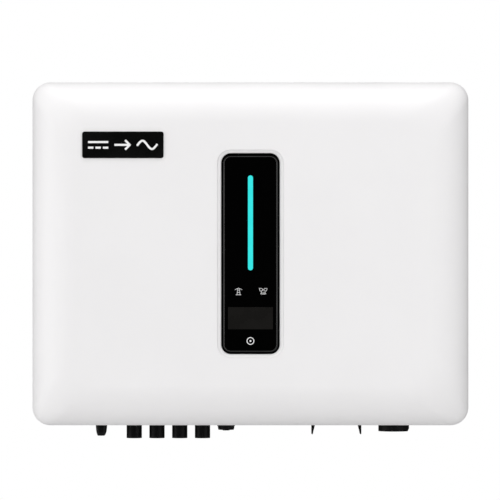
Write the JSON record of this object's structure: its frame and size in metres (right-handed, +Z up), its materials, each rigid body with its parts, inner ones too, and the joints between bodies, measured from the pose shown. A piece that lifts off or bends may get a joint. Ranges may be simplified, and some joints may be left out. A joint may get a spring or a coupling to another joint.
{
  "type": "string inverter",
  "caption": "Wall-hung solar string inverter: soft-edged white cover with a tall black display, finned heat sink behind, switch and capped ports underneath.",
  "frame": {"origin": "middle of the wall bracket's back face, where it lies on the wall", "axes": "+Z up, the front faces -Y, +Y points into the wall, +X to the right as seen from the front"},
  "size_m": [0.534, 0.2115, 0.4378],
  "materials": {
    "white_paint": "smooth satin powder coat, near white",
    "cast_aluminium": "bare extruded aluminium",
    "zinc_steel": "zinc-plated sheet steel",
    "black_plastic": "satin moulded black plastic",
    "black_glass": "polished opaque black panel",
    "screen_glass": "dark screen, switched off",
    "cyan_light": "lit cyan light guide",
    "black_rubber": "matt black rubber",
    "black_wire": "black wire insulation",
    "red_wire": "red wire insulation",
    "circuit_board": "green solder mask",
    "wound_core": "varnished core and winding in a grey can",
    "potted_block": "dark grey potting",
    "capacitor_sleeve": "dark blue shrink sleeve",
    "grey_ribbon": "grey flat cable"
  },
  "bodies": {
    "wall": {"wall_bracket": "zinc_steel"},
    "inverter": {"front_cover": "white_paint", "housing": "white_paint", "heat_sink": "cast_aluminium", "hanger_bar": "zinc_steel", "lower_stay": "zinc_steel", "control_shield": "zinc_steel", "earth_screw": "zinc_steel", "cover_screw_1": "zinc_steel", "cover_screw_2": "zinc_steel", "cover_screw_3": "zinc_steel", "cover_screw_4": "zinc_steel", "display_frame": "black_plastic", "badge_plate": "black_plastic", "dc_switch_module": "black_plastic", "dc_switch_plate": "black_plastic", "data_socket": "black_plastic", "com_base": "black_plastic", "ac_socket": "black_plastic", "vent_plug": "black_plastic", "relay_bank": "black_plastic", "fan_frame": "black_plastic", "pv_socket_1": "black_plastic", "pv_socket_2": "black_plastic", "pv_socket_3": "black_plastic", "pv_socket_4": "black_plastic", "display_lens": "black_glass", "oled_module": "screen_glass", "light_guide": "cyan_light", "cover_gasket": "black_rubber", "pv_lead_2": "black_wire", "pv_lead_4": "black_wire", "ac_lead": "black_wire", "pv_lead_1": "red_wire", "pv_lead_3": "red_wire", "display_board": "circuit_board", "power_board": "circuit_board", "control_board": "circuit_board", "boost_choke_1": "wound_core", "boost_choke_2": "wound_core", "ac_choke": "wound_core", "igbt_module": "potted_block", "dc_capacitor_1": "capacitor_sleeve", "dc_capacitor_2": "capacitor_sleeve", "dc_capacitor_3": "capacitor_sleeve", "ribbon_cable": "grey_ribbon"},
    "dc_switch": {"dc_switch_shaft": "black_plastic", "dc_switch_knob": "black_plastic"},
    "pv_cap_1": {"pv_cap_1": "black_rubber"},
    "pv_cap_2": {"pv_cap_2": "black_rubber"},
    "pv_cap_3": {"pv_cap_3": "black_rubber"},
    "pv_cap_4": {"pv_cap_4": "black_rubber"},
    "data_seal": {"data_seal": "black_rubber"},
    "data_cap": {"data_cap": "black_plastic"},
    "ac_seal": {"ac_seal": "black_rubber"},
    "ac_cap": {"ac_cap": "black_plastic"},
    "com_cover": {"com_cover": "black_plastic"},
    "com_latch_left": {"com_latch_left": "black_plastic"},
    "com_latch_right": {"com_latch_right": "black_plastic"},
    "fan": {"fan_rotor": "black_plastic"}
  },
  "joints": [
    {"name": "lift_off_bracket", "type": "slide", "parent": "wall", "child": "inverter", "axis": [0, 0, 1], "range_m": [0, 0.04]},
    {"name": "dc_switch_turn", "type": "hinge", "parent": "inverter", "child": "dc_switch", "pos_m": [-0.1842, -0.112, -0.25], "axis": [0, 0, -1], "range_deg": [0, 90]},
    {"name": "pv_cap_1_pull", "type": "slide", "parent": "inverter", "child": "pv_cap_1", "axis": [0, 0, -1], "range_m": [0, 0.035]},
    {"name": "pv_cap_2_pull", "type": "slide", "parent": "inverter", "child": "pv_cap_2", "axis": [0, 0, -1], "range_m": [0, 0.035]},
    {"name": "pv_cap_3_pull", "type": "slide", "parent": "inverter", "child": "pv_cap_3", "axis": [0, 0, -1], "range_m": [0, 0.035]},
    {"name": "pv_cap_4_pull", "type": "slide", "parent": "inverter", "child": "pv_cap_4", "axis": [0, 0, -1], "range_m": [0, 0.035]},
    {"name": "data_seal_travel", "type": "slide", "parent": "inverter", "child": "data_seal", "axis": [0, 0, -1], "range_m": [0, 0.015]},
    {"name": "data_cap_unscrew", "type": "hinge", "parent": "data_seal", "child": "data_cap", "pos_m": [-0.0301, -0.112, -0.25], "axis": [0, 0, -1], "range_deg": [0, 1800]},
    {"name": "ac_seal_pull", "type": "slide", "parent": "inverter", "child": "ac_seal", "axis": [0, 0, -1], "range_m": [0, 0.035]},
    {"name": "ac_cap_twist", "type": "hinge", "parent": "ac_seal", "child": "ac_cap", "pos_m": [0.1772, -0.112, -0.25], "axis": [0, 0, -1], "range_deg": [0, 35]},
    {"name": "com_cover_pull", "type": "slide", "parent": "inverter", "child": "com_cover", "axis": [0, 0, -1], "range_m": [0, 0.035]},
    {"name": "com_latch_left_squeeze", "type": "hinge", "parent": "com_cover", "child": "com_latch_left", "pos_m": [0.0778, -0.112, -0.2625], "axis": [0, -1, 0], "range_deg": [0, 9], "stiffness_Nm_per_rad": 0.4},
    {"name": "com_latch_right_squeeze", "type": "hinge", "parent": "com_cover", "child": "com_latch_right", "pos_m": [0.1346, -0.112, -0.2625], "axis": [0, 1, 0], "range_deg": [0, 9], "stiffness_Nm_per_rad": 0.4},
    {"name": "fan_spin", "type": "hinge", "parent": "inverter", "child": "fan", "pos_m": [0.16, -0.1303, 0.062], "axis": [0, 0, 1], "continuous": true}
  ],
  "couplings": [
    {"joint": "data_cap_unscrew", "follows": "data_seal_travel", "rad_per_m": 2094.4}
  ]
}
